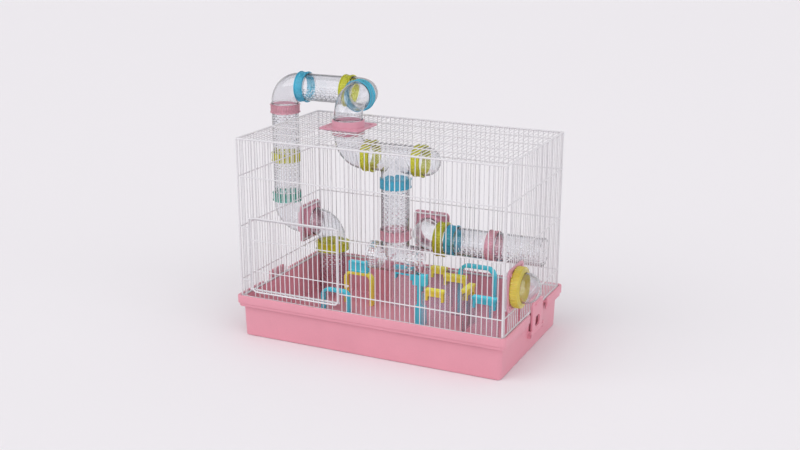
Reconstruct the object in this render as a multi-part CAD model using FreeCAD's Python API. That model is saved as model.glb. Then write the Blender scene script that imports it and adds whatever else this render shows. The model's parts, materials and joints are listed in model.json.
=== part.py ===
import FreeCAD, Part
import math
import os

# A gerbil cage: a wire hood on a moulded pan, clear tubes joined by coloured rings, and a floor maze.
# Millimetres, +Z up. The origin is the centre of the pan's underside and +X is the cage's long side.

os.makedirs("parts", exist_ok=True)

# Hood of coated wire, measured between wire axes
HOOD_W = 570.0
HOOD_D = 335.0
HOOD_TOP = 417.0
FRAME_D = 4.0
CROSS_D = 2.4
BORDER_D = 3.4
RAIL_D = 4.0
UPRIGHT_D = 1.8
UPRIGHT_IN = 0.3
GAPS_W = 54
GAPS_D = 32
CROSS_Z = (123.0, 235.0, 340.0)
ROOF_CROSS_GAPS = 5
BORDER_CLEAR = 3.4

# Pan
RIM_TOP = 83.5
RIM_OVER = 9.5
RIM_T = 4.0
RIM_EDGE_H = 5.5
RIM_EDGE_T = 5.0
RIM_LIP = 16.5
RIM_STEP = 7.0
RIM_STEP_IN = 2.5
RIM_R = 14.0
PAN_TOP_IN = 0.0
PAN_BASE_IN = 2.0
PAN_BASE_R = 14.0
PAN_WALL = 2.5
PAN_FLOOR = 4.0
HOOD_REST = 0.3

# Clear tubes and their rings
TUBE_R = 30.0
TUBE_WALL = 2.0
ELBOW_LEG = 51.0
ELBOW_BEND = 38.0
TEE_HALF = 57.0
TEE_STEM = 52.0
TUBE_LONG = 110.0
TUBE_SHORT = 92.0
TUBE_SPACER = 24.0
CAP_SKIRT = 12.0
WALL_SKIRT = 20.0
RING_R = 34.0
WIDE_RING_R = 38.0
RING_W = 20.0
RING_RIB = 2.0
SLIP = 0.1

# Square adapter plates that carry the tubes through the wire
PLATE = 84.0
ROOF_PLATE = 94.0
PLATE_T = 3.0
PLATE_R = 10.0
PLATE_OPEN = 72.0
PLATE_OUT = 9.0
PLATE_IN = 3.0
SLEEVE_OUT = 8.0
SLEEVE_IN = 10.0
NUT_R = 40.0
NUT_W = 18.0
LEFT_PLATE_Y = 124.0
BACK_PLATE_X = -7.0
RIGHT_PLATE_Y = -112.0

# Front door, hung on the left border wire of its opening
DOOR_LEFT = -262.0
DOOR_RIGHT = -60.0
DOOR_LOW = 104.0
DOOR_HIGH = 254.0
DOOR_OVER = 3.5
DOOR_OFF = 4.2
DOOR_HINGE_GAP = 6.0
DOOR_CROSS_Z = (146.0, 210.5)
DOOR_GAPS = 18
DOOR_CORNER_R = 9.0
SLEEVE_R = 3.2
SLEEVE_H = 8.0
SLEEVE_Z = (165.0, 190.0)
HINGE_SLIP = 0.06
ARM_SPLIT = 0.75
HOOK_REACH = 22.0
HOOK_R = 5.0

# Clips at the pan's two ends
CLIP_Y = 22.0
CLIP_W = 64.0
CLIP_T = 4.0
CLIP_HIGH = 104.0
CLIP_R = 10.0
CLIP_GAP = 0.6
CLIP_WINDOW_W = 26.0
CLIP_WINDOW_H = 22.0
CLIP_WINDOW_Z = 60.0
CLIP_ROOM = 22.0
PIVOT_Z = 40.0
PIVOT_R = 2.5
PIVOT_SLIP = 0.05
BARREL_R = 4.0
LUG_W = 8.0
LUG_H = 14.0
SIDE_GAP = 0.4

# Floor maze
BLOCK_W = 46.0
BLOCK_H = 24.0
POST_LEG_W = 20.0
POST_LEG_H = 45.0
POST_W = 10.0
POST_H = 90.0
POST_HEAD_W = 32.0
PANEL_T = 3.0
PANEL_H = 84.0
PANEL_W = 62.0
CAP_W = 14.0
CAP_H = 15.0
CAP_GRIP = 7.0
CAP_LEG = 6.0
CAP_DROP = 10.0
ARCH_T = 7.0
ARCH_DEPTH = 14.0

# Worked out from the sizes above
X_SIDE = HOOD_W / 2
Y_SIDE = HOOD_D / 2
FOOT_Z = RIM_TOP + HOOD_REST + FRAME_D / 2
TOP_AXIS_Z = HOOD_TOP + PLATE_OUT + ELBOW_LEG
PLATE_Z = TOP_AXIS_Z - 2 * ELBOW_LEG - TUBE_SHORT - TUBE_LONG
LEFT_TUBE_X = -X_SIDE - PLATE_OUT - ELBOW_LEG
ROOF_X = LEFT_TUBE_X + 2 * ELBOW_LEG + TUBE_LONG
ROOF_Y = LEFT_PLATE_Y - 2 * ELBOW_LEG
INNER_AXIS_Z = HOOD_TOP - PLATE_IN - ELBOW_LEG
STEM_X = ROOF_X + ELBOW_LEG + TEE_HALF
STEM_TOP_Z = INNER_AXIS_Z - TEE_STEM
STEM_LOW_Z = STEM_TOP_Z - TUBE_LONG
LOW_TEE_Z = STEM_LOW_Z - TEE_STEM
RUN_Y = Y_SIDE - PLATE_IN - ELBOW_LEG
RUN_X0 = BACK_PLATE_X + ELBOW_LEG
RUN_X1 = RUN_X0 + TUBE_SPACER
RUN_X2 = RUN_X1 + TUBE_SHORT
DROP_X = -X_SIDE + PLATE_IN + ELBOW_LEG
DROP_Z = PLATE_Z - ELBOW_LEG
HALF_RIB = RING_RIB / 2
BORE_R = TUBE_R - TUBE_WALL
SOCKET_R = TUBE_R + SLIP

V = FreeCAD.Vector
X, Y, Z = V(1, 0, 0), V(0, 1, 0), V(0, 0, 1)


def save(name, shape):
    shape.exportStep("parts/" + name + ".step")


def rod(a, b, diameter):
    """A round wire from point a to point b."""
    return Part.makeCylinder(diameter / 2, (b - a).Length, a, b - a)


def box(x0, x1, y0, y1, z0, z1):
    return Part.makeBox(x1 - x0, y1 - y0, z1 - z0, V(x0, y0, z0))


def fuse(shapes):
    """Join shapes that meet into one clean solid."""
    return shapes[0].multiFuse(shapes[1:]).removeSplitter()


def rounded_wire(half_x, half_y, radius, z):
    """Outline of a rectangle with round corners, at height z."""
    edges = []
    corners = [(1, 1), (-1, 1), (-1, -1), (1, -1)]
    arcs = []
    for i, (sx, sy) in enumerate(corners):
        centre = V(sx * (half_x - radius), sy * (half_y - radius), z)
        start = 90.0 * i
        arcs.append(Part.makeCircle(radius, centre, Z, start, start + 90.0))
    for arc, following in zip(arcs, arcs[1:] + arcs[:1]):
        edges.append(arc)
        edges.append(Part.makeLine(arc.Vertexes[-1].Point, following.Vertexes[0].Point))
    return Part.Wire(edges)


def rounded_block(half_x, half_y, radius, z0, z1):
    return Part.Face(rounded_wire(half_x, half_y, radius, z0)).extrude(Z * (z1 - z0))


def turned(profile):
    """Turn a closed (radius, height) outline about the Z axis."""
    points = [V(r, 0, h) for r, h in profile]
    return Part.Face(Part.makePolygon(points + points[:1])).revolve(V(), Z, 360.0)


def aimed(shape, origin, axis):
    """Carry a shape made about +Z to an origin and axis."""
    moved = shape.copy()
    moved.Placement = FreeCAD.Placement(origin, FreeCAD.Rotation(Z, axis))
    return moved


# Wire grilles: u and v run across and up the panel, and place(u, v, w) gives the point w inside it
def grille(place, size_u, low_v, high_v, gaps, levels, opening):
    """Panel of uprights and cross wires round one opening, as strips that meet end to end beside it."""
    a, b, c, d = opening
    end_u = size_u / 2 - FRAME_D / 2
    rails = [rod(place(a - RAIL_D / 2, v), place(b + RAIL_D / 2, v), RAIL_D) for v in (c, d)]
    bars = [rod(place(u, c), place(u, d), BORDER_D).cut(rails[0]).cut(rails[1]) for u in (a, b)]
    left, right, low, high = [bars[0]], [bars[1]], [rails[0]], [rails[1]]
    for v in levels:
        left.append(rod(place(-end_u, v), place(a, v), CROSS_D))
        right.append(rod(place(b, v), place(end_u, v), CROSS_D))
        if v < c:
            low.append(rod(place(a, v), place(b, v), CROSS_D))
        if v > d:
            high.append(rod(place(a, v), place(b, v), CROSS_D))
    for i in range(1, gaps):
        u = size_u * (i / gaps - 0.5)
        if min(abs(u - a), abs(u - b)) < BORDER_CLEAR:
            continue
        foot, head = place(u, low_v, UPRIGHT_IN), place(u, high_v, UPRIGHT_IN)
        if a < u < b:
            low.append(rod(foot, place(u, c, UPRIGHT_IN), UPRIGHT_D))
            high.append(rod(place(u, d, UPRIGHT_IN), head, UPRIGHT_D))
        else:
            strip = left if u < a else right
            strip.append(rod(foot, head, UPRIGHT_D))
    return Part.makeCompound([solid for strip in (left, right, low, high) for solid in fuse(strip).Solids])


def square_opening(u, v):
    half = PLATE_OPEN / 2
    return (u - half, u + half, v - half, v + half)


def hood_frame():
    """Twelve edge wires of the hood, round at the corners."""
    parts = []
    corners = {}
    for sx in (-1, 1):
        for sy in (-1, 1):
            for top, z in ((0, FOOT_Z), (1, HOOD_TOP)):
                corners[sx, sy, top] = V(sx * X_SIDE, sy * Y_SIDE, z)
    for point in corners.values():
        parts.append(Part.makeSphere(FRAME_D / 2, point))
    for sx in (-1, 1):
        for sy in (-1, 1):
            parts.append(rod(corners[sx, sy, 0], corners[sx, sy, 1], FRAME_D))
    for top in (0, 1):
        for s in (-1, 1):
            parts.append(rod(corners[-1, s, top], corners[1, s, top], FRAME_D))
            parts.append(rod(corners[s, -1, top], corners[s, 1, top], FRAME_D))
    return fuse(parts)


def grilles():
    """The four walls and the roof, each a wire panel inside the frame."""
    low, high = FOOT_Z + FRAME_D / 2, HOOD_TOP - FRAME_D / 2
    door = (DOOR_LEFT, DOOR_RIGHT, DOOR_LOW, DOOR_HIGH)
    roof_levels = [HOOD_D * (i / ROOF_CROSS_GAPS - 0.5) for i in range(1, ROOF_CROSS_GAPS)]
    roof_end = Y_SIDE - FRAME_D / 2
    return {
        "front_grille": grille(lambda u, v, w=0.0: V(u, w - Y_SIDE, v), HOOD_W, low, high, GAPS_W,
                               CROSS_Z, door),
        "back_grille": grille(lambda u, v, w=0.0: V(u, Y_SIDE - w, v), HOOD_W, low, high, GAPS_W,
                              CROSS_Z, square_opening(BACK_PLATE_X, PLATE_Z)),
        "left_grille": grille(lambda u, v, w=0.0: V(w - X_SIDE, u, v), HOOD_D, low, high, GAPS_D,
                              CROSS_Z, square_opening(LEFT_PLATE_Y, PLATE_Z)),
        "right_grille": grille(lambda u, v, w=0.0: V(X_SIDE - w, u, v), HOOD_D, low, high, GAPS_D,
                               CROSS_Z, square_opening(RIGHT_PLATE_Y, PLATE_Z)),
        "roof_grille": grille(lambda u, v, w=0.0: V(u, v, HOOD_TOP - w), HOOD_W, -roof_end, roof_end, GAPS_W,
                              roof_levels, square_opening(ROOF_X, ROOF_Y)),
    }


# Tubes, made from a ring-shaped section
def section(origin, axis):
    outer = Part.Wire(Part.makeCircle(TUBE_R, origin, axis))
    inner = Part.Wire(Part.makeCircle(BORE_R, origin, axis))
    return Part.Face([outer, inner])


def tube(a, b):
    """Straight tube from a to b."""
    return section(a, b - a).extrude(b - a)


def elbow(corner, to_a, to_b, trim_a=HALF_RIB, trim_b=HALF_RIB):
    """Quarter bend whose ports face along to_a and to_b."""
    start = corner + to_a * ELBOW_BEND
    end = corner + to_b * ELBOW_BEND
    hub = corner + (to_a + to_b) * ELBOW_BEND
    bend = section(start, to_a).revolve(hub, to_b.cross(to_a), 90.0)
    straight = ELBOW_LEG - ELBOW_BEND
    leg_a = tube(start, start + to_a * (straight - trim_a))
    leg_b = tube(end, end + to_b * (straight - trim_b))
    return fuse([bend, leg_a, leg_b])


def tee(corner, run, stem, trims=(HALF_RIB, HALF_RIB)):
    """Straight run with one branch; trims shorten the run's two ends."""
    a = corner - run * (TEE_HALF - trims[0])
    b = corner + run * (TEE_HALF - trims[1])
    c = corner + stem * (TEE_STEM - HALF_RIB)
    outer = rod(a, b, 2 * TUBE_R).fuse(rod(corner, c, 2 * TUBE_R))
    inner = rod(a, b, 2 * BORE_R).fuse(rod(corner, c, 2 * BORE_R))
    return outer.cut(inner).removeSplitter()


def dome(port, axis, skirt):
    """Round-ended cap that starts at a port and bulges along the axis."""
    top = port + axis * skirt
    outer = rod(port, top, 2 * TUBE_R).fuse(Part.makeSphere(TUBE_R, top))
    inner = rod(port, top, 2 * BORE_R).fuse(Part.makeSphere(BORE_R, top))
    reach = 2 * TUBE_R
    behind = rod(port - axis * reach, port, 2 * reach)
    return outer.cut(inner).cut(behind).removeSplitter()


def ring(centre, axis, radius=RING_R):
    """Sleeve over two tube ends, with a thin rib that both ends butt against."""
    half = RING_W / 2
    profile = [(radius, -half), (radius, half), (SOCKET_R, half), (SOCKET_R, HALF_RIB),
               (BORE_R, HALF_RIB), (BORE_R, -HALF_RIB), (SOCKET_R, -HALF_RIB), (SOCKET_R, -half)]
    return aimed(turned(profile), centre, axis)


def plate(origin, outward, size=PLATE, out=PLATE_OUT, sleeve_out=SLEEVE_OUT, sleeve_in=SLEEVE_IN):
    """Square plate against the wire, with a web that the tubes butt on and a sleeve on each side."""
    face = RAIL_D / 2
    flange = rounded_block(size / 2, size / 2, PLATE_R, face, face + PLATE_T)
    web_low = -PLATE_IN
    profile = [(RING_R, web_low - sleeve_in), (RING_R, out + sleeve_out)]
    if sleeve_out:
        profile.append((SOCKET_R, out + sleeve_out))
        profile.append((SOCKET_R, out))
    profile.append((BORE_R, out))
    profile.append((BORE_R, web_low))
    if sleeve_in:
        profile.append((SOCKET_R, web_low))
        profile.append((SOCKET_R, web_low - sleeve_in))
    bore = Part.makeCylinder(RING_R, 2 * PLATE, V(0, 0, -PLATE))
    body = fuse([flange.cut(bore), turned(profile)])
    return aimed(body, origin, outward)


def nut(origin, axis):
    """Flat ring that holds the right-hand dome against its plate."""
    profile = [(NUT_R, 0.0), (NUT_R, NUT_W), (SOCKET_R, NUT_W), (SOCKET_R, 0.0)]
    return aimed(turned(profile), origin, axis)


def tube_set():
    """Every plate, tube, elbow, tee, cap and ring of the hood."""
    left_wall = V(-X_SIDE, LEFT_PLATE_Y, PLATE_Z)
    roof = V(ROOF_X, ROOF_Y, HOOD_TOP)
    back_wall = V(BACK_PLATE_X, Y_SIDE, PLATE_Z)
    right_wall = V(X_SIDE, RIGHT_PLATE_Y, PLATE_Z)
    right_face = RAIL_D / 2 + PLATE_T
    parts = {
        "left_plate": plate(left_wall, -X),
        "roof_plate": plate(roof, Z, size=ROOF_PLATE),
        "back_plate": plate(back_wall, Y, sleeve_out=0.0),
        "right_plate": plate(right_wall, X, out=right_face, sleeve_out=0.0, sleeve_in=0.0),
        "right_nut": nut(right_wall + X * right_face, X),
        "right_dome": dome(right_wall + X * right_face, X, WALL_SKIRT),
    }
    rib = HALF_RIB

    # Outside, from the left wall over the roof
    low_corner = V(LEFT_TUBE_X, LEFT_PLATE_Y, PLATE_Z)
    joint_1 = low_corner + Z * ELBOW_LEG
    joint_2 = joint_1 + Z * TUBE_SHORT
    joint_3 = joint_2 + Z * TUBE_LONG
    top_corner = V(LEFT_TUBE_X, LEFT_PLATE_Y, TOP_AXIS_Z)
    joint_4 = top_corner + X * ELBOW_LEG
    joint_5 = joint_4 + X * TUBE_LONG
    turn_corner = V(ROOF_X, LEFT_PLATE_Y, TOP_AXIS_Z)
    joint_6 = turn_corner - Y * ELBOW_LEG
    roof_corner = V(ROOF_X, ROOF_Y, TOP_AXIS_Z)
    parts["left_outer_elbow"] = elbow(low_corner, X, Z, trim_a=0.0)
    parts["left_lower_tube"] = tube(joint_1 + Z * rib, joint_2 - Z * rib)
    parts["left_upper_tube"] = tube(joint_2 + Z * rib, joint_3 - Z * rib)
    parts["top_left_elbow"] = elbow(top_corner, -Z, X)
    parts["top_tube"] = tube(joint_4 + X * rib, joint_5 - X * rib)
    parts["top_turn_elbow"] = elbow(turn_corner, -X, -Y)
    parts["roof_outer_elbow"] = elbow(roof_corner, Y, -Z, trim_b=0.0)
    parts["ring_left_low"] = ring(joint_1, Z)
    parts["ring_left_mid"] = ring(joint_2, Z)
    parts["ring_left_high"] = ring(joint_3, Z)
    parts["ring_top_left"] = ring(joint_4, X)
    parts["ring_top_right"] = ring(joint_5, X)
    parts["ring_top_turn"] = ring(joint_6, Y)

    # Inside, hanging from the roof plate
    inner_corner = V(ROOF_X, ROOF_Y, INNER_AXIS_Z)
    joint_7 = inner_corner + X * ELBOW_LEG
    tee_corner = V(STEM_X, ROOF_Y, INNER_AXIS_Z)
    joint_8 = tee_corner + X * TEE_HALF
    stem_top = V(STEM_X, ROOF_Y, STEM_TOP_Z)
    stem_low = V(STEM_X, ROOF_Y, STEM_LOW_Z)
    parts["roof_inner_elbow"] = elbow(inner_corner, Z, X, trim_a=0.0)
    parts["upper_tee"] = tee(tee_corner, X, -Z)
    parts["tee_dome"] = dome(joint_8 + X * rib, X, CAP_SKIRT)
    parts["stem_tube"] = tube(stem_top - Z * rib, stem_low + Z * rib)
    parts["lower_tee"] = tee(V(STEM_X, ROOF_Y, LOW_TEE_Z), X, Z, trims=(0.0, 0.0))
    parts["ring_tee_left"] = ring(joint_7, X)
    parts["ring_tee_right"] = ring(joint_8, X)
    parts["ring_stem_top"] = ring(stem_top, Z)
    parts["ring_stem_low"] = ring(stem_low, Z)

    # Inside, from the left wall down to the floor
    drop_joint = V(DROP_X, LEFT_PLATE_Y, DROP_Z)
    parts["left_inner_elbow"] = elbow(V(DROP_X, LEFT_PLATE_Y, PLATE_Z), -X, -Z, trim_a=0.0)
    parts["ring_drop"] = ring(drop_joint, Z, WIDE_RING_R)
    parts["drop_tube"] = tube(drop_joint - Z * rib, drop_joint - Z * TUBE_LONG)

    # Inside, from the back wall towards the right
    joint_9 = V(RUN_X0, RUN_Y, PLATE_Z)
    joint_10 = V(RUN_X1, RUN_Y, PLATE_Z)
    joint_11 = V(RUN_X2, RUN_Y, PLATE_Z)
    parts["back_elbow"] = elbow(V(BACK_PLATE_X, RUN_Y, PLATE_Z), Y, X, trim_a=0.0)
    parts["run_spacer"] = tube(joint_9 + X * rib, joint_10 - X * rib)
    parts["run_short_tube"] = tube(joint_10 + X * rib, joint_11 - X * rib)
    parts["run_long_tube"] = tube(joint_11 + X * rib, joint_11 + X * TUBE_LONG)
    parts["ring_run_left"] = ring(joint_9, X, WIDE_RING_R)
    parts["ring_run_mid"] = ring(joint_10, X)
    parts["ring_run_right"] = ring(joint_11, X)
    return parts


# Pan
def draw_in(z):
    """How far the pan's outer wall lies inside the hood's wires at height z."""
    return PAN_BASE_IN + (PAN_TOP_IN - PAN_BASE_IN) * z / (RIM_TOP - RIM_T)


def pan_loft(inset, z0, z1):
    """Tapered block of the pan's body between two heights, drawn in by inset."""
    def outline(z):
        taper = draw_in(z) + inset
        radius = PAN_BASE_R + (RIM_R - PAN_BASE_R) * z / (RIM_TOP - RIM_T) - inset / 2
        return rounded_wire(X_SIDE - taper, Y_SIDE - taper, radius, z)
    return Part.makeLoft([outline(z0), outline(z1)], True, True)


def clip_x():
    """Mid-plane of the right-hand clip."""
    return X_SIDE + FRAME_D / 2 + CLIP_GAP + CLIP_T / 2


def lugs(side):
    """Two ears on an end wall that hold the clip's pin."""
    parts = []
    near = X_SIDE - draw_in(PIVOT_Z) - PAN_WALL / 2
    far = clip_x() + BARREL_R
    middle = side * CLIP_Y
    for s in (-1, 1):
        inner = CLIP_W / 2 + SIDE_GAP
        y0, y1 = sorted((middle + s * inner, middle + s * (inner + LUG_W)))
        x0, x1 = sorted((side * near, side * far))
        ear = box(x0, x1, y0, y1, PIVOT_Z - LUG_H / 2, PIVOT_Z + LUG_H / 2)
        hole = Part.makeCylinder(PIVOT_R + PIVOT_SLIP, LUG_W, V(side * clip_x(), y0, PIVOT_Z), Y)
        parts.append(ear.cut(hole))
    return parts


def base_pan():
    """Tapered tray with a channel in its rim for the hood's foot, a lip, a step and ears for the clips."""
    under_rim = RIM_TOP - RIM_T
    rim_x, rim_y = X_SIDE + RIM_OVER, Y_SIDE + RIM_OVER
    edge_z = RIM_TOP + RIM_EDGE_H
    lip_z = edge_z - RIM_LIP
    step_z = lip_z - RIM_STEP
    body = pan_loft(0.0, 0.0, under_rim)
    step = rounded_block(rim_x - RIM_STEP_IN, rim_y - RIM_STEP_IN, RIM_R, step_z, lip_z)
    lip = rounded_block(rim_x, rim_y, RIM_R, lip_z, edge_z)
    channel = rounded_block(rim_x - RIM_EDGE_T, rim_y - RIM_EDGE_T, RIM_R - RIM_EDGE_T, RIM_TOP, edge_z)
    hollow = pan_loft(PAN_WALL, PAN_FLOOR, under_rim)
    mouth_x = X_SIDE - PAN_TOP_IN - PAN_WALL
    mouth_y = Y_SIDE - PAN_TOP_IN - PAN_WALL
    mouth = rounded_block(mouth_x, mouth_y, RIM_R - PAN_WALL / 2, under_rim, RIM_TOP)
    pan = fuse([body, step, lip]).cut(channel).cut(hollow).cut(mouth)
    shelf_z = lip_z + PAN_WALL
    step_in = RIM_STEP_IN + PAN_WALL
    under_lip = rounded_block(rim_x - PAN_WALL, rim_y - PAN_WALL, RIM_R - PAN_WALL, shelf_z, under_rim)
    under_step = rounded_block(rim_x - step_in, rim_y - step_in, RIM_R - PAN_WALL, step_z, shelf_z)
    pan = pan.cut(fuse([under_lip, under_step]).cut(body))
    pocket_half = CLIP_W / 2 + CLIP_ROOM
    for side in (-1, 1):
        x0, x1 = sorted((side * (X_SIDE - PAN_TOP_IN), side * (rim_x + RIM_OVER)))
        middle = side * CLIP_Y
        pan = pan.cut(box(x0, x1, middle - pocket_half, middle + pocket_half, step_z, edge_z))
    return fuse([pan] + lugs(-1) + lugs(1))


def end_clip(side):
    """Pivoting clip with a window; its head stands just outside the hood's foot wire."""
    x, y = side * clip_x(), side * CLIP_Y
    half = CLIP_W / 2
    low = PIVOT_Z - BARREL_R
    mid = (CLIP_HIGH + low) / 2
    slab = rounded_block((CLIP_HIGH - low) / 2, half, CLIP_R, -CLIP_T / 2, CLIP_T / 2)
    slab = aimed(slab, V(x, y, mid), X)
    window = box(x - CLIP_T, x + CLIP_T, y - CLIP_WINDOW_W / 2, y + CLIP_WINDOW_W / 2,
                 CLIP_WINDOW_Z - CLIP_WINDOW_H / 2, CLIP_WINDOW_Z + CLIP_WINDOW_H / 2)
    slab = slab.cut(window)
    barrel = rod(V(x, y - half, PIVOT_Z), V(x, y + half, PIVOT_Z), 2 * BARREL_R)
    reach = half + SIDE_GAP + LUG_W
    pin = rod(V(x, y - reach, PIVOT_Z), V(x, y + reach, PIVOT_Z), 2 * PIVOT_R)
    return fuse([slab, barrel, pin])


# Door
def wire_loop(place, a, b, c, d, radius, diameter):
    """Rectangle of wire from (a, c) to (b, d) with bent corners, as a list of pieces."""
    r = radius
    pieces = [rod(place(a + r, v), place(b - r, v), diameter) for v in (c, d)]
    pieces += [rod(place(u, c + r), place(u, d - r), diameter) for u in (a, b)]
    for u, su in ((a, 1), (b, -1)):
        for v, sv in ((c, 1), (d, -1)):
            hub = place(u + su * r, v + sv * r)
            start = place(u, v + sv * r)
            end = place(u + su * r, v)
            face = Part.Face(Part.Wire(Part.makeCircle(diameter / 2, start, start - place(u, v))))
            pieces.append(face.revolve(hub, (start - hub).cross(end - hub), 90.0))
    return pieces


def front_door():
    """Wire door: a leaf with round corners, uprights, two cross wires and a hook, and two hinge sleeves."""
    y = -Y_SIDE - DOOR_OFF
    left = DOOR_LEFT + DOOR_HINGE_GAP
    low, high = DOOR_LOW - DOOR_OVER, DOOR_HIGH + DOOR_OVER
    wires = wire_loop(lambda u, v: V(u, y, v), left, DOOR_RIGHT, low, high, DOOR_CORNER_R, BORDER_D)
    width = DOOR_RIGHT - left
    for i in range(1, DOOR_GAPS):
        x = left + width * i / DOOR_GAPS
        wires.append(rod(V(x, y, low), V(x, y, high), UPRIGHT_D))
    for z in DOOR_CROSS_Z:
        wires.append(rod(V(left, y, z), V(DOOR_RIGHT, y, z), UPRIGHT_D + SLIP))
    hook_z = DOOR_CROSS_Z[0]
    tip = V(DOOR_RIGHT + HOOK_REACH, y, hook_z)
    wires.append(rod(V(DOOR_RIGHT, y, hook_z), tip, UPRIGHT_D))
    curl = Part.Face(Part.Wire(Part.makeCircle(UPRIGHT_D / 2, tip, X)))
    wires.append(curl.revolve(tip - Y * HOOK_R, Z, -180.0))
    pivot = V(DOOR_LEFT, -Y_SIDE, 0)
    hinges = []
    for z in SLEEVE_Z:
        base = pivot + Z * z
        middle = base + Z * (SLEEVE_H / 2)
        stile = V(left, y, middle.z)
        meet = middle + (stile - middle) * ARM_SPLIT
        wires.append(rod(meet, stile, UPRIGHT_D))
        sleeve = rod(base, base + Z * SLEEVE_H, 2 * SLEEVE_R).fuse(rod(middle, meet, UPRIGHT_D))
        bore = rod(base - Z * SLEEVE_H, base + Z * (2 * SLEEVE_H), BORDER_D + 2 * HINGE_SLIP)
        hinges.append(sleeve.cut(bore))
    return Part.makeCompound([fuse(wires)] + hinges)


# Floor maze: clear panels under coloured caps, and a few arches
def on_floor(x, y):
    return V(x, y, PAN_FLOOR)


def maze_panel(x, y, along):
    """Clear sheet standing on the floor; along is X or Y."""
    half_u, half_t = PANEL_W / 2, PANEL_T / 2
    dx, dy = (half_u, half_t) if along == X else (half_t, half_u)
    return box(x - dx, x + dx, y - dy, y + dy, PAN_FLOOR, PAN_FLOOR + PANEL_H)


def maze_cap(x, y, along, length):
    """Channel with a leg at each end that sits astride a panel's top edge."""
    top = PAN_FLOOR + PANEL_H
    half_l, half_w, half_s = length / 2, CAP_W / 2, PANEL_T / 2 + SLIP
    low = top - CAP_GRIP

    def bar(u0, u1, half, z0, z1):
        if along == X:
            return box(x + u0, x + u1, y - half, y + half, z0, z1)
        return box(x - half, x + half, y + u0, y + u1, z0, z1)
    outer = fuse([bar(-half_l, half_l, half_w, low, low + CAP_H),
                  bar(-half_l, CAP_LEG - half_l, half_w, low - CAP_DROP, low),
                  bar(half_l - CAP_LEG, half_l, half_w, low - CAP_DROP, low)])
    return outer.cut(bar(-half_l, half_l, half_s, low - CAP_DROP, top))


def arch(x, y, span, height):
    """Round-shouldered doorway standing on the floor, open along Y."""
    radius = min(span / 2, height) / 2

    def outline(half, top, r):
        points = [V(-half, 0, 0), V(-half, 0, top - r), V(-half + r, 0, top),
                  V(half - r, 0, top), V(half, 0, top - r), V(half, 0, 0)]
        left_hub = V(-half + r, 0, top - r)
        right_hub = V(half - r, 0, top - r)
        middle = r * math.sqrt(0.5)
        edges = [Part.makeLine(points[0], points[1]),
                 Part.Arc(points[1], left_hub + V(-middle, 0, middle), points[2]).toShape(),
                 Part.makeLine(points[2], points[3]),
                 Part.Arc(points[3], right_hub + V(middle, 0, middle), points[4]).toShape(),
                 Part.makeLine(points[4], points[5]), Part.makeLine(points[5], points[0])]
        return Part.Face(Part.Wire(edges)).extrude(Y * ARCH_DEPTH)

    solid = outline(span / 2, height, radius)
    gap = outline(span / 2 - ARCH_T, height - ARCH_T, radius - ARCH_T / 2)
    shape = solid.cut(gap)
    shape.translate(on_floor(x, y - ARCH_DEPTH / 2))
    return shape


def block(x, y, low):
    """Plain block with its underside at height low."""
    half_w, half_d = BLOCK_W / 2, ARCH_DEPTH / 2
    return box(x - half_w, x + half_w, y - half_d, y + half_d, low, low + BLOCK_H)


def post(x, y):
    """Stepped post: a wide foot, a thin stem and a head."""
    half_d = ARCH_DEPTH / 2
    foot_top = PAN_FLOOR + POST_LEG_H
    stem_top = PAN_FLOOR + POST_H

    def bar(width, z0, z1):
        return box(x - width / 2, x + width / 2, y - half_d, y + half_d, z0, z1)
    return fuse([bar(POST_LEG_W, PAN_FLOOR, foot_top), bar(POST_W, foot_top, stem_top),
                 bar(POST_HEAD_W, stem_top, stem_top + BLOCK_H)])


MAZE_CAPS = {
    "cap_blue_left": (-47.0, 113.0, X, 46.0),
    "cap_blue_right": (182.0, 11.0, X, 52.0),
    "cap_yellow_front": (72.0, 10.0, X, 43.0),
    "cap_yellow_back": (74.0, 115.0, X, 52.0),
    "cap_yellow_side": (127.0, 58.0, Y, 46.0),
    "cap_yellow_far": (20.0, 152.0, X, 36.0),
}
MAZE_ARCHES = {
    "arch_blue_left": (-173.0, 30.0, 69.0, 51.0),
    "arch_yellow": (-148.0, 93.0, 70.0, 75.0),
    "arch_blue_back": (117.0, 135.0, 86.0, 114.0),
}
BLUE_POST = (30.0, 28.0)


def maze():
    """Caps, their panels, the arches, the block on the yellow arch and the post."""
    parts = {}
    panels = []
    for name, (x, y, along, length) in MAZE_CAPS.items():
        parts[name] = maze_cap(x, y, along, length)
        panels.append(maze_panel(x, y, along))
    parts["maze_panels"] = Part.makeCompound(panels)
    for name, place in MAZE_ARCHES.items():
        parts[name] = arch(*place)
    x, y, span, height = MAZE_ARCHES["arch_yellow"]
    parts["block_blue"] = block(x, y, PAN_FLOOR + height)
    parts["post_blue"] = post(*BLUE_POST)
    return parts


save("base_pan", base_pan())
save("hood_frame", hood_frame())
for node, solid in grilles().items():
    save(node, solid)
for node, solid in tube_set().items():
    save(node, solid)
save("front_door", front_door())
save("clip_left", end_clip(-1))
save("clip_right", end_clip(1))
for node, solid in maze().items():
    save(node, solid)
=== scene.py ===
import bmesh
import bpy
import json
import math
from bpy.props import FloatProperty, FloatVectorProperty, IntProperty, PointerProperty
from mathutils import Matrix, Vector

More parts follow.
